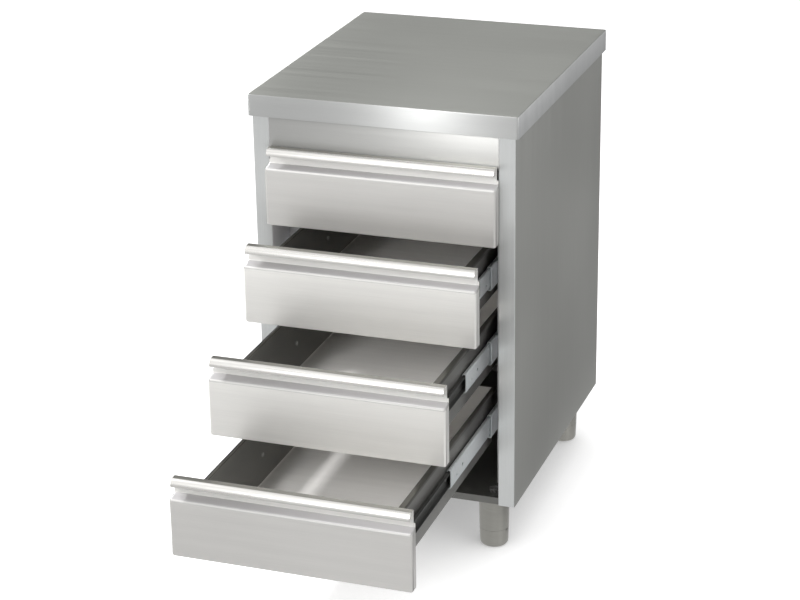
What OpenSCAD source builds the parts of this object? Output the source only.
// Stainless steel drawer unit: worktop, folded casing, four drawers on telescopic
// slides and four levelling legs. Millimetres, Z up, X to the right, Y to the back.
// The drawers stand open by the amounts below, which is the stored pose.

/* [Worktop] */
// Width of the worktop, left to right
top_w = 500; // [480:1:560]
// Depth of the worktop, front to back
top_d = 600; // [590:1:700]
// Height of the worktop's surface above the floor
top_h = 850; // [840:1:950]
// Height of the worktop's folded edge
top_edge = 40; // [30:1:60]
// Sheet thickness of the worktop
top_sheet = 1.5; // [1:0.1:2]
// Radius of the worktop's upright corners
top_corner_r = 4; // [3:0.5:8]
// Depth of the flange folded in under the worktop's edge
top_return = 18; // [12:1:30]
// Thickness of the board under the worktop's sheet
core_t = 18; // [12:1:25]
// Play round the board
core_play = 0.5; // [0.3:0.1:2]

/* [Casing] */
// How far the worktop stands over the casing at each side
side_overhang = 6; // [2:1:15]
// How far the worktop stands over the casing at the front
front_overhang = 6; // [2:1:15]
// How far the worktop stands over the casing at the back
back_overhang = 6; // [2:1:15]
// Sheet thickness of the casing
case_sheet = 1.2; // [0.8:0.1:2]
// Outer radius of the casing's folds
bend_r = 2; // [2:0.5:4]
// Width of the stile at each side of the drawers
stile_w = 31; // [26:1:40]
// Depth of the folded stile
stile_d = 78; // [40:1:100]
// Width of the flange behind the stile
stile_flange = 24; // [10:1:24]
// Width of the side panel's rear flange
rear_flange = 20; // [12:1:40]
// Height of the blank rail over the drawers
rail_h = 60; // [45:1:75]
// How far the rail reaches down behind the top drawer's front
rail_lap = 6.5; // [2:0.5:10]
// How far the blank rail stands back from the stiles
rail_set = 1; // [0:0.5:5]
// Depth of the rails' top flange
rail_top_flange = 40; // [20:1:60]
// Depth of the rails' lower flange
rail_low_flange = 28; // [15:1:40]
// Height of the casing's lower edge above the floor
base_h = 105; // [100:1:160]
// Height of the bottom panel's lips
base_lip = 14; // [10:1:25]
// How far the bottom panel's front lip stands back from the stiles
base_set = 2; // [1:0.5:5]

/* [Slide uprights] */
// Sheet thickness of the uprights
upright_sheet = 1.5; // [1:0.1:3]
// Width of an upright, front to back
upright_w = 50; // [30:1:70]
// Depth of an upright, from the side panel to the slides
upright_d = 58; // [56:1:64]
// Gap between the stile and the front upright
upright_gap = 8; // [1:1:20]
// Distance from the slides' rear end to the rear upright
upright_rear_set = 30; // [5:1:60]

/* [Legs] */
// Radius of a leg at its top
leg_top_r = 29; // [26:0.5:34]
// Radius of a leg at the seam above its foot
leg_low_r = 27.5; // [24:0.5:30]
// Wall thickness of a leg
leg_wall = 2; // [1.5:0.1:3]
// Distance from the casing's side to a leg's axis
leg_inset_x = 55; // [40:1:90]
// Distance from the casing's front or back to a leg's axis
leg_inset_y = 54; // [40:1:90]
// Height of a foot below the seam
foot_h = 35; // [20:1:40]
// How much narrower a foot is at the floor than at the seam
foot_taper = 1; // [0:0.5:3]
// Radius of the foot's rounded lower edge
foot_round = 7; // [3:0.5:10]
// Seam between the foot and its leg
foot_seam = 0.3; // [0.2:0.1:1]
// Radius of the foot's threaded stud
stud_r = 8; // [6:0.5:10]
// Play between the stud and the leg's boss
stud_play = 0.4; // [0.3:0.1:0.8]
// Room above the stud, below the bolt
stud_room = 5; // [3:1:8]
// Wall of the boss that guides the stud
boss_wall = 5.6; // [3:0.1:8]
// Length of the boss below the leg's top
boss_l = 58; // [45:1:60]
// Radius of the bolt that holds the leg
leg_bolt_r = 5; // [4:0.5:6]
// Length of that bolt below the bottom panel
leg_bolt_l = 14; // [10:1:16]
// Radius of the bolt's hexagonal head, across its corners
bolt_head_r = 9.2; // [8:0.1:10]
// Height of the bolt's head
bolt_head_t = 6.5; // [5:0.1:8]

/* [Drawer fronts] */
// Distance from one drawer to the next
pitch = 145; // [140:1:155]
// Gap between one drawer front and the next
front_gap = 2.5; // [2:0.5:6]
// How far a drawer front laps over the stile at each side
front_lap = 2; // [1:0.5:4]
// Sheet thickness of a drawer front
front_sheet = 1.2; // [0.8:0.1:2]
// Height of the flat panel
panel_h = 106; // [90:1:110]
// Radius of the panel's upper edge
panel_r = 5; // [3:0.5:8]
// Rise of the ledge from the panel to the recess
ledge_rise = 5; // [3:0.5:7]
// Depth of the finger recess
recess_d = 20; // [15:1:28]
// Outer radius of the rolled lip
lip_r = 12; // [8:0.5:13]
// Height of the lip, from its tip to its top
lip_drop = 13; // [13:0.5:16]
// How far the flange behind each end of the front reaches past its screws
flange_past_screws = 9.5; // [6:0.5:14]
// Distance from the box's wall to the screws into the front
front_screw_set = 9.4; // [7:0.1:15]
// Height of the lower screws above the box's floor
low_screw_z = 25; // [20:1:40]
// Distance from the finger recess down to the upper screws
high_screw_z = 22; // [15:1:30]
// Gap between a closed drawer and the stiles
closed_gap = 0.8; // [0.5:0.1:2]

/* [Drawer boxes] */
// Sheet thickness of a drawer box
box_sheet = 1; // [0.8:0.1:1.5]
// Outer radius of the box's folds
box_bend_r = 1.6; // [1.5:0.1:3]
// How far a drawer box reaches past its slides' rear ends
box_past_slides = 4; // [2:0.5:10]
// Seam between the box's welded sheets
box_seam = 0.05; // [0.05:0.05:0.2]
// Height of the box's rim above the front's lower edge
rim_z = 118; // [100:1:124]
// Height of the box's floor above the front's lower edge
floor_z = 5; // [3:1:12]
// Width of the out-turned rim
rim_w = 8; // [5:0.5:8]
// Height of the rim's turned-down edge
rim_drop = 6; // [4:0.5:10]
// How far the box's front plate stays inside the front at each end
plate_inset = 1.5; // [1:0.5:4]
// How far the box's front plate stays above the front's lower edge
plate_z = 2; // [2:0.5:6]

/* [Slides] */
// Length of the slides
slide_l = 500; // [480:1:520]
// Distance from the worktop's front edge to the slides' front ends
slide_set = 56; // [50:1:70]
// Height of the slides' middle line above the front's lower edge
slide_z = 58; // [50:1:66]
// Overall thickness of a slide
slide_t = 12.7; // [12.7:0.1:14]
// Sheet thickness of the slide members
slide_sheet = 1.2; // [1:0.1:1.5]
// Outer radius of the slide members' ball tracks
track_r = 2.6; // [2:0.1:3]
// Height of the lips that hold the balls in the tracks
track_lip = 3.2; // [3:0.1:3.6]
// Height of the casing member
case_member_h = 45.5; // [43:0.5:48]
// Width of the casing member's tracks
case_member_w = 8.2; // [6:0.1:9]
// Height of the middle member
middle_member_h = 36; // [34:0.5:37]
// Height of the drawer member
drawer_member_h = 26; // [22:0.5:28]
// Running play where the members pass each other
slide_play = 0.3; // [0.2:0.1:0.4]
// Gap between the drawer member's web and the middle member's tracks
track_gap = 1.2; // [1:0.1:1.6]
// Distance from the slide's front end to the small hole
small_hole_y = 34; // [25:1:45]
// Radius of the small holes
small_hole_r = 2.2; // [1.5:0.1:3]
// Distance of the small holes below the slide's middle line
small_hole_drop = 4.5; // [2:0.5:6]
// Distance from the slide's front end to the large hole
large_hole_y = 68; // [55:1:90]
// Radius of the large holes
large_hole_r = 3.4; // [2:0.1:5]
// Distance between one pair of holes and the next
hole_step = 192; // [150:1:200]

/* [Fixings] */
// Radius of a screw's shank
screw_r = 2; // [1.5:0.1:2.5]
// Radius of a screw's head
screw_head_r = 4.2; // [3.5:0.1:5]
// Thickness of a screw's head
screw_head_t = 1.4; // [0.8:0.1:1.4]
// Play round a shank in its hole
screw_play = 0.1; // [0.05:0.05:0.3]
// How far a screw reaches past the sheet that it holds
screw_reach = 4; // [2:0.5:8]

/* [Stored pose] */
// How far drawer 1 stands open
open_1 = 0; // [0:1:500]
// How far drawer 2 stands open
open_2 = 112; // [0:1:500]
// How far drawer 3 stands open
open_3 = 283; // [0:1:500]
// How far drawer 4 stands open
open_4 = 460; // [0:1:500]

/* [Hidden] */
DRAWERS = [1, 2, 3, 4];
SIDES = ["left", "right"];
ENDS = ["front", "back"];

$fn = 48;
bend_steps = 4;
lip_steps = 10;
slack = 1;

// Casing, from the worktop down
case_w = top_w - 2 * side_overhang;
case_front = front_overhang;
case_back = top_d - back_overhang;
case_top = top_h - top_edge;
case_inner_x = case_w / 2 - case_sheet;
case_inner_y = case_back - 2 * case_sheet;
stile_x = case_w / 2 - stile_w;
rail_face = case_front + rail_set;
base_top = base_h + case_sheet;

// Drawers: the flat front's face, its lower edge and its back
front_h = pitch - front_gap;
front_back = recess_d + front_sheet;
closed_y = case_front - closed_gap - box_sheet - front_back;
open_by = [open_1, open_2, open_3, open_4];
drawer_1_z = case_top - rail_h + rail_lap - front_h;
front_w = 2 * (stile_x + front_lap);
ledge_z = panel_h + ledge_rise;

// Slides stand on the uprights, and the box fits between them.
// Their members are given as distances outwards from the box's wall.
upright_x = case_inner_x - upright_d;
box_x = upright_x - slide_t;
slide_y = slide_set - closed_y;
box_back = slide_y + slide_l + box_past_slides;
case_web = slide_t - slide_sheet;
middle_web = case_web - screw_head_t - slide_play - slide_sheet;
middle_in = slide_sheet + track_gap;
drawer_track = middle_web - slide_play;

// Uprights, legs and the stored object's middle
upright_y = [case_front + stile_d + upright_gap, slide_set + slide_l - upright_rear_set - upright_w];
leg_x = case_w / 2 - leg_inset_x;
leg_y = [case_front + leg_inset_y, case_back - leg_inset_y];
foremost = closed_y - max(open_by);
middle_y = (foremost + top_d) / 2;

// Functions for folded sheets. A path is the line that the sheet lies to the left of.
function unit(v) = v / norm(v);
function left_of(v) = [-v[1], v[0]];
function spin(v, a) = [v[0] * cos(a) - v[1] * sin(a), v[0] * sin(a) + v[1] * cos(a)];
function flip(p) = [for (i = [len(p) - 1:-1:0]) p[i]];
function turn_of(a, b, c) = sign(left_of(unit(b - a)) * unit(c - b));

// Point i of path p, moved to the left by d
function moved(p, i, d) =
    i == 0 ? p[0] + d * left_of(unit(p[1] - p[0])) :
    i == len(p) - 1 ? p[i] + d * left_of(unit(p[i] - p[i - 1])) :
    let (a = left_of(unit(p[i] - p[i - 1])), b = left_of(unit(p[i + 1] - p[i])))
    p[i] + d * (a + b) / (1 + a * b);

// Arc of radius r in the corner at b, between a and c
function rounded(a, b, c, r, steps) =
    r < 0.05 ? [b] :
    let (
        u = unit(b - a),
        s = turn_of(a, b, c),
        angle = acos(u * unit(c - b)),
        hub = b - r * tan(angle / 2) * u + s * r * left_of(u)
    )
    [for (k = [0:steps]) hub - s * r * spin(left_of(u), s * angle * k / steps)];

// One face of a sheet t thick: path p moved left by d, with outer fold radii r
function sheet_face(p, t, r, d, steps) =
    let (q = [for (i = [0:len(p) - 1]) moved(p, i, d)])
    [
        q[0],
        for (i = [1:len(p) - 2])
            each rounded(q[i - 1], q[i], q[i + 1],
                turn_of(p[i - 1], p[i], p[i + 1]) > 0 ? r[i] - d : r[i] - t + d, steps),
        q[len(q) - 1]
    ];

// Outline of a sheet t thick along path p
function sheet_outline(p, t, r, steps = bend_steps) =
    concat(sheet_face(p, t, r, 0, steps), flip(sheet_face(p, t, r, t, steps)));

function same(r, p) = [for (q = p) r];

// Solid from an outline drawn in Y and Z, running along X and centred
module along_x(length) {
    translate([-length / 2, 0, 0])
        rotate([90, 0, 90])
            linear_extrude(length) children();
}

// Solid from an outline drawn in X and Z, running towards +Y
module along_y(length) {
    translate([0, length, 0])
        rotate([90, 0, 0])
            linear_extrude(length) children();
}

// Round bar along +X or +Y
module bar_x(r, length) {
    rotate([0, 90, 0])
        cylinder(r = r, h = length);
}

module bar_y(r, length) {
    rotate([-90, 0, 0])
        cylinder(r = r, h = length);
}

// The children for the right-hand side, or their mirror image
module on_side(s) {
    mirror([s == "left" ? 1 : 0, 0, 0]) children();
}

// Everything stands so that the stored object's middle is over the origin
module in_frame() {
    translate([0, -middle_y, 0]) children();
}

// Place of drawer i: its front's lower edge in the middle of the opening
module at_drawer(i, share = 1) {
    translate([0, closed_y - share * open_by[i - 1], drawer_1_z - (i - 1) * pitch]) children();
}

// Height of drawer i's slides above the floor
function slide_height(i) = drawer_1_z - (i - 1) * pitch + slide_z;

module rounded_plate(w, d, r, h) {
    linear_extrude(h) {
        square([w - 2 * r, d], center = true);
        square([w, d - 2 * r], center = true);
        for (x = [-1, 1])
            for (y = [-1, 1])
                translate([x * (w / 2 - r), y * (d / 2 - r)]) circle(r);
    }
}

// Worktop: a tray of sheet turned upside down, with its edges folded in
module worktop() {
    color("silver")
        translate([0, top_d / 2, case_top])
            difference() {
                rounded_plate(top_w, top_d, top_corner_r, top_edge);
                translate([0, 0, top_sheet])
                    rounded_plate(top_w - 2 * top_sheet, top_d - 2 * top_sheet,
                        top_corner_r - top_sheet, top_edge - 2 * top_sheet);
                translate([0, 0, -slack])
                    rounded_plate(top_w - 2 * top_return, top_d - 2 * top_return,
                        top_corner_r, top_sheet + 2 * slack);
            }
}

module worktop_core() {
    margin = 2 * (top_sheet + core_play);
    color("burlywood")
        translate([0, top_d / 2, top_h - top_sheet - core_t])
            rounded_plate(top_w - margin, top_d - margin, top_corner_r, core_t);
}

// Side of the casing: panel, stile and rear flange folded from one sheet
module side_panel() {
    x = case_w / 2;
    path = [
        [stile_x + stile_flange, case_front + stile_d],
        [stile_x, case_front + stile_d],
        [stile_x, case_front],
        [x, case_front],
        [x, case_back],
        [x - rear_flange, case_back]
    ];
    color("gray")
        translate([0, 0, base_h])
            linear_extrude(case_top - base_h)
                polygon(sheet_outline(path, case_sheet, same(bend_r, path)));
}

module front_rail() {
    path = [
        [rail_face + rail_top_flange, case_top],
        [rail_face, case_top],
        [rail_face, case_top - rail_h],
        [rail_face + rail_low_flange, case_top - rail_h]
    ];
    color("silver")
        along_x(2 * stile_x)
            polygon(sheet_outline(path, case_sheet, same(bend_r, path)));
}

module rear_rail() {
    path = [
        [case_inner_y - rail_low_flange, case_top - rail_h],
        [case_inner_y, case_top - rail_h],
        [case_inner_y, case_top],
        [case_inner_y - rail_top_flange, case_top]
    ];
    color("silver")
        along_x(2 * case_inner_x)
            polygon(sheet_outline(path, case_sheet, same(bend_r, path)));
}

// Back panel, which ends short of the round inside of the side panels' rear folds
module back_panel() {
    half = case_inner_x - bend_r + case_sheet;
    color("gray")
        translate([-half, case_inner_y, base_h])
            cube([2 * half, case_sheet, case_top - base_h]);
}

// Bottom panel: lips at front and back, corners cut out for the stiles, holes for the bolts
module bottom_panel() {
    lip_y = case_front + base_set;
    path = [
        [lip_y, base_h + base_lip],
        [lip_y, base_h],
        [case_inner_y, base_h],
        [case_inner_y, base_h + base_lip]
    ];
    color("silver")
        difference() {
            along_x(2 * case_inner_x)
                polygon(sheet_outline(path, case_sheet, same(bend_r, path)));
            for (s = SIDES)
                on_side(s)
                    translate([stile_x, case_front - slack, base_h - slack])
                        cube([stile_w, stile_d + slack, base_lip + 2 * slack]);
            for (s = SIDES)
                for (y = leg_y)
                    on_side(s)
                        translate([leg_x, y, base_h - slack])
                            cylinder(r = leg_bolt_r + screw_play, h = case_sheet + 2 * slack);
        }
}

// Upright that carries the slides: a channel open towards the side panel
module upright(e) {
    y = upright_y[e == "front" ? 0 : 1];
    middle = y + upright_w / 2;
    path = [
        [case_inner_x, y + upright_w],
        [upright_x, y + upright_w],
        [upright_x, y],
        [case_inner_x, y]
    ];
    color("darkgray")
        difference() {
            translate([0, 0, base_top])
                linear_extrude(case_top - base_top)
                    polygon(sheet_outline(path, upright_sheet, same(bend_r, path)));
            for (i = DRAWERS)
                translate([upright_x - slack, middle, slide_height(i)])
                    bar_x(screw_r + screw_play, upright_sheet + 2 * slack);
        }
}

// Leg: tapered sleeve, top plate and the boss that guides the foot's stud
module leg(e) {
    top = base_h;
    low = foot_h + foot_seam;
    bore = stud_r + stud_play;
    color("darkgray")
        translate([leg_x, leg_y[e == "front" ? 0 : 1], 0])
            rotate_extrude($fn = 64)
                polygon([
                    [leg_bolt_r + screw_play, top],
                    [leg_top_r, top],
                    [leg_low_r, low],
                    [leg_low_r - leg_wall, low],
                    [leg_top_r - leg_wall, top - 2 * leg_wall],
                    [bore + boss_wall, top - 2 * leg_wall],
                    [bore + boss_wall, top - boss_l],
                    [bore, top - boss_l],
                    [bore, top - leg_bolt_l - slack],
                    [leg_bolt_r + screw_play, top - leg_bolt_l - slack]
                ]);
}

// Foot: the turned cap below the seam, and its stud
module foot(e) {
    stud_top = base_h - leg_bolt_l - stud_room;
    turn_r = leg_low_r - foot_taper - foot_round;
    edge = [for (a = [0:15:90]) [turn_r + foot_round * sin(a), foot_round - foot_round * cos(a)]];
    stud = [[leg_low_r, foot_h], [stud_r, foot_h], [stud_r, stud_top], [0, stud_top]];
    color("gray")
        translate([leg_x, leg_y[e == "front" ? 0 : 1], 0])
            rotate_extrude($fn = 64)
                polygon(concat([[0, 0]], edge, stud));
}

module leg_bolts() {
    color("dimgray")
        for (s = SIDES)
            for (y = leg_y)
                on_side(s)
                    translate([leg_x, y, base_top - case_sheet - leg_bolt_l]) {
                        cylinder(r = leg_bolt_r, h = leg_bolt_l + case_sheet + leg_bolt_r);
                        translate([0, 0, leg_bolt_l + case_sheet])
                            cylinder(r = bolt_head_r, h = bolt_head_t, $fn = 6);
                    }
}

// Folded front: rolled lip, finger recess, ledge and flat panel, closed at both ends
module drawer_front() {
    flange_x = front_screw_x() - flange_past_screws;
    lip_path = [
        [front_sheet, front_h - lip_drop],
        [front_sheet, front_h - front_sheet],
        [recess_d, front_h - front_sheet],
        [recess_d, ledge_z],
        [0, panel_h],
        [0, 0],
        [front_back, 0]
    ];
    lip_radii = [0, lip_r, bend_r, bend_r, panel_r, bend_r, 0];
    end_path = [
        [front_back, panel_h + ledge_rise * front_back / recess_d],
        [0, panel_h],
        [0, 0],
        [front_back, 0]
    ];
    end_radii = [0, panel_r, bend_r, 0];
    color("gainsboro") {
        along_x(front_w)
            polygon(sheet_outline(lip_path, front_sheet, lip_radii, lip_steps));
        for (x = [-1, 1])
            translate([x * (front_w - front_sheet) / 2, 0, 0])
                along_x(front_sheet)
                    polygon(sheet_face(end_path, front_sheet, end_radii, 0, lip_steps));
        for (s = SIDES)
            on_side(s)
                difference() {
                    translate([flange_x, recess_d, 0])
                        cube([(front_w - front_sheet) / 2 - flange_x, front_sheet, ledge_z]);
                    front_screw_holes();
                }
    }
}

// Places of the screws between a box and its front
function front_screw_x() = box_x - front_screw_set;
function front_screw_z() = [floor_z + low_screw_z, ledge_z - high_screw_z];

module front_screw_holes() {
    for (z = front_screw_z())
        translate([front_screw_x(), 0, z])
            bar_y(screw_r + screw_play, front_back + box_sheet + slack);
}

// Places of the rivets between a box and its slide members
function rivet_y() = [for (n = [0:2]) slide_y + small_hole_y + n * hole_step];

module rivet_holes() {
    for (y = rivet_y())
        translate([box_x - box_sheet - slack, y, slide_z])
            bar_x(screw_r + screw_play, box_sheet + slide_sheet + 2 * slack);
}

// Drawer box, welded from five sheets: floor, two sides, back, and a wide plate behind the front
module drawer_box() {
    inner_front = front_back + box_sheet + box_seam;
    inner_half = box_x - box_sheet - box_seam;
    color("silver") {
        translate([-inner_half, inner_front, floor_z])
            cube([2 * inner_half, box_back - box_sheet - box_seam - inner_front, box_sheet]);
        along_x(2 * inner_half)
            polygon(rimmed_wall(box_back));
        difference() {
            translate([-front_w / 2 + plate_inset, front_back, plate_z])
                cube([front_w - 2 * plate_inset, box_sheet, rim_z - plate_z]);
            for (s = SIDES)
                on_side(s) front_screw_holes();
        }
        for (s = SIDES)
            on_side(s) box_side(inner_front);
    }
}

// Outline of a wall of the box, with its outer face at place a and its rim folded out and down
function rimmed_wall(a) =
    let (
        fold_z = rim_z - box_sheet,
        rim_a = a + rim_w - box_sheet,
        path = [[a, floor_z], [a, fold_z], [rim_a, fold_z], [rim_a, rim_z - rim_drop]]
    )
    sheet_outline(path, box_sheet, same(box_bend_r, path));

// Side of the box: its rim runs on to the back's rim, past the end of the wall
module box_side(inner_front) {
    reach = box_back + rim_w - inner_front;
    difference() {
        translate([0, inner_front, 0])
            along_y(reach)
                polygon(rimmed_wall(box_x));
        translate([box_x - box_sheet - slack, box_back, floor_z - slack])
            cube([box_sheet + 2 * slack, rim_w + slack, rim_z - rim_drop - floor_z + slack]);
        rivet_holes();
    }
}

// Screws into the front, and rivets through the walls into the slide members
module drawer_fixings() {
    wall = box_x - box_sheet;
    front_grip = front_back - recess_d + box_sheet;
    color("dimgray")
        for (s = SIDES)
            on_side(s) {
                for (z = front_screw_z())
                    translate([front_screw_x(), 0, z]) {
                        translate([0, front_back + box_sheet, 0])
                            bar_y(screw_head_r, screw_head_t);
                        translate([0, recess_d - screw_reach, 0])
                            bar_y(screw_r, front_grip + screw_reach + screw_head_t / 2);
                    }
                for (y = rivet_y())
                    translate([wall, y, slide_z]) {
                        translate([-screw_head_t / 2, 0, 0])
                            bar_x(screw_r, box_sheet + slide_sheet + screw_head_t);
                        translate([-screw_head_t, 0, 0])
                            bar_x(screw_head_r, screw_head_t);
                        translate([box_sheet + slide_sheet, 0, 0])
                            bar_x(screw_head_r - screw_r / 2, screw_head_t / 2);
                    }
            }
}

// Outline of the drawer member, which opens outwards
function member_outward(s, reach, h) = [[reach, h / 2], [s, h / 2], [s, -h / 2], [reach, -h / 2]];

// Outline of a member that opens inwards, with a lip on each track
function member_inward(s, reach, h) =
    let (lip_z = h / 2 - track_lip)
    [[reach, -lip_z], [reach, -h / 2], [s, -h / 2], [s, h / 2], [reach, h / 2], [reach, lip_z]];

module member(path) {
    along_y(slide_l)
        polygon(sheet_outline(path, slide_sheet, same(track_r, path)));
}

// Drawer member, fixed to the box's wall
module slide_drawer() {
    color("darkgray")
        translate([box_x, slide_y, slide_z])
            difference() {
                member(member_outward(0, drawer_track, drawer_member_h));
                for (y = rivet_y())
                    translate([-slack, y - slide_y, 0])
                        bar_x(screw_r + screw_play, slide_sheet + 2 * slack);
            }
}

// Middle member, with its pairs of holes
module slide_middle() {
    color("lightsteelblue")
        translate([box_x, slide_y, slide_z])
            difference() {
                member(member_inward(middle_web + slide_sheet, middle_in, middle_member_h));
                for (n = [0:2]) {
                    translate([middle_web - slack, small_hole_y + n * hole_step, -small_hole_drop])
                        bar_x(small_hole_r, slide_sheet + 2 * slack);
                    translate([middle_web - slack, large_hole_y + n * hole_step, 0])
                        bar_x(large_hole_r, slide_sheet + 2 * slack);
                }
            }
}

// Casing member, screwed to the uprights
module slide_case() {
    color("darkgray")
        translate([box_x, slide_y, slide_z])
            difference() {
                member(member_inward(slide_t, slide_t - case_member_w, case_member_h));
                for (y = upright_y)
                    translate([case_web - slack, y + upright_w / 2 - slide_set, 0])
                        bar_x(screw_r + screw_play, slide_sheet + 2 * slack);
            }
}

module slide_screws() {
    grip = slide_sheet + upright_sheet + screw_reach;
    color("dimgray")
        for (i = DRAWERS)
            for (s = SIDES)
                for (y = upright_y)
                    on_side(s)
                        translate([box_x + case_web, y + upright_w / 2, slide_height(i)]) {
                            translate([-screw_head_t, 0, 0])
                                bar_x(screw_head_r, screw_head_t);
                            translate([-screw_head_t / 2, 0, 0])
                                bar_x(screw_r, screw_head_t / 2 + grip);
                        }
}

in_frame() worktop();
in_frame() worktop_core();
in_frame() front_rail();
in_frame() rear_rail();
in_frame() back_panel();
in_frame() bottom_panel();
in_frame() slide_screws();
in_frame() leg_bolts();

for (s = SIDES) {
    in_frame() on_side(s) side_panel();
    for (e = ENDS) {
        in_frame() on_side(s) upright(e);
        in_frame() on_side(s) leg(e);
        in_frame() on_side(s) foot(e);
    }
}

for (i = DRAWERS) {
    in_frame() at_drawer(i) drawer_front();
    in_frame() at_drawer(i) drawer_box();
    in_frame() at_drawer(i) drawer_fixings();
    for (s = SIDES) {
        in_frame() at_drawer(i) on_side(s) slide_drawer();
        in_frame() at_drawer(i, 0.5) on_side(s) slide_middle();
        in_frame() at_drawer(i, 0) on_side(s) slide_case();
    }
}
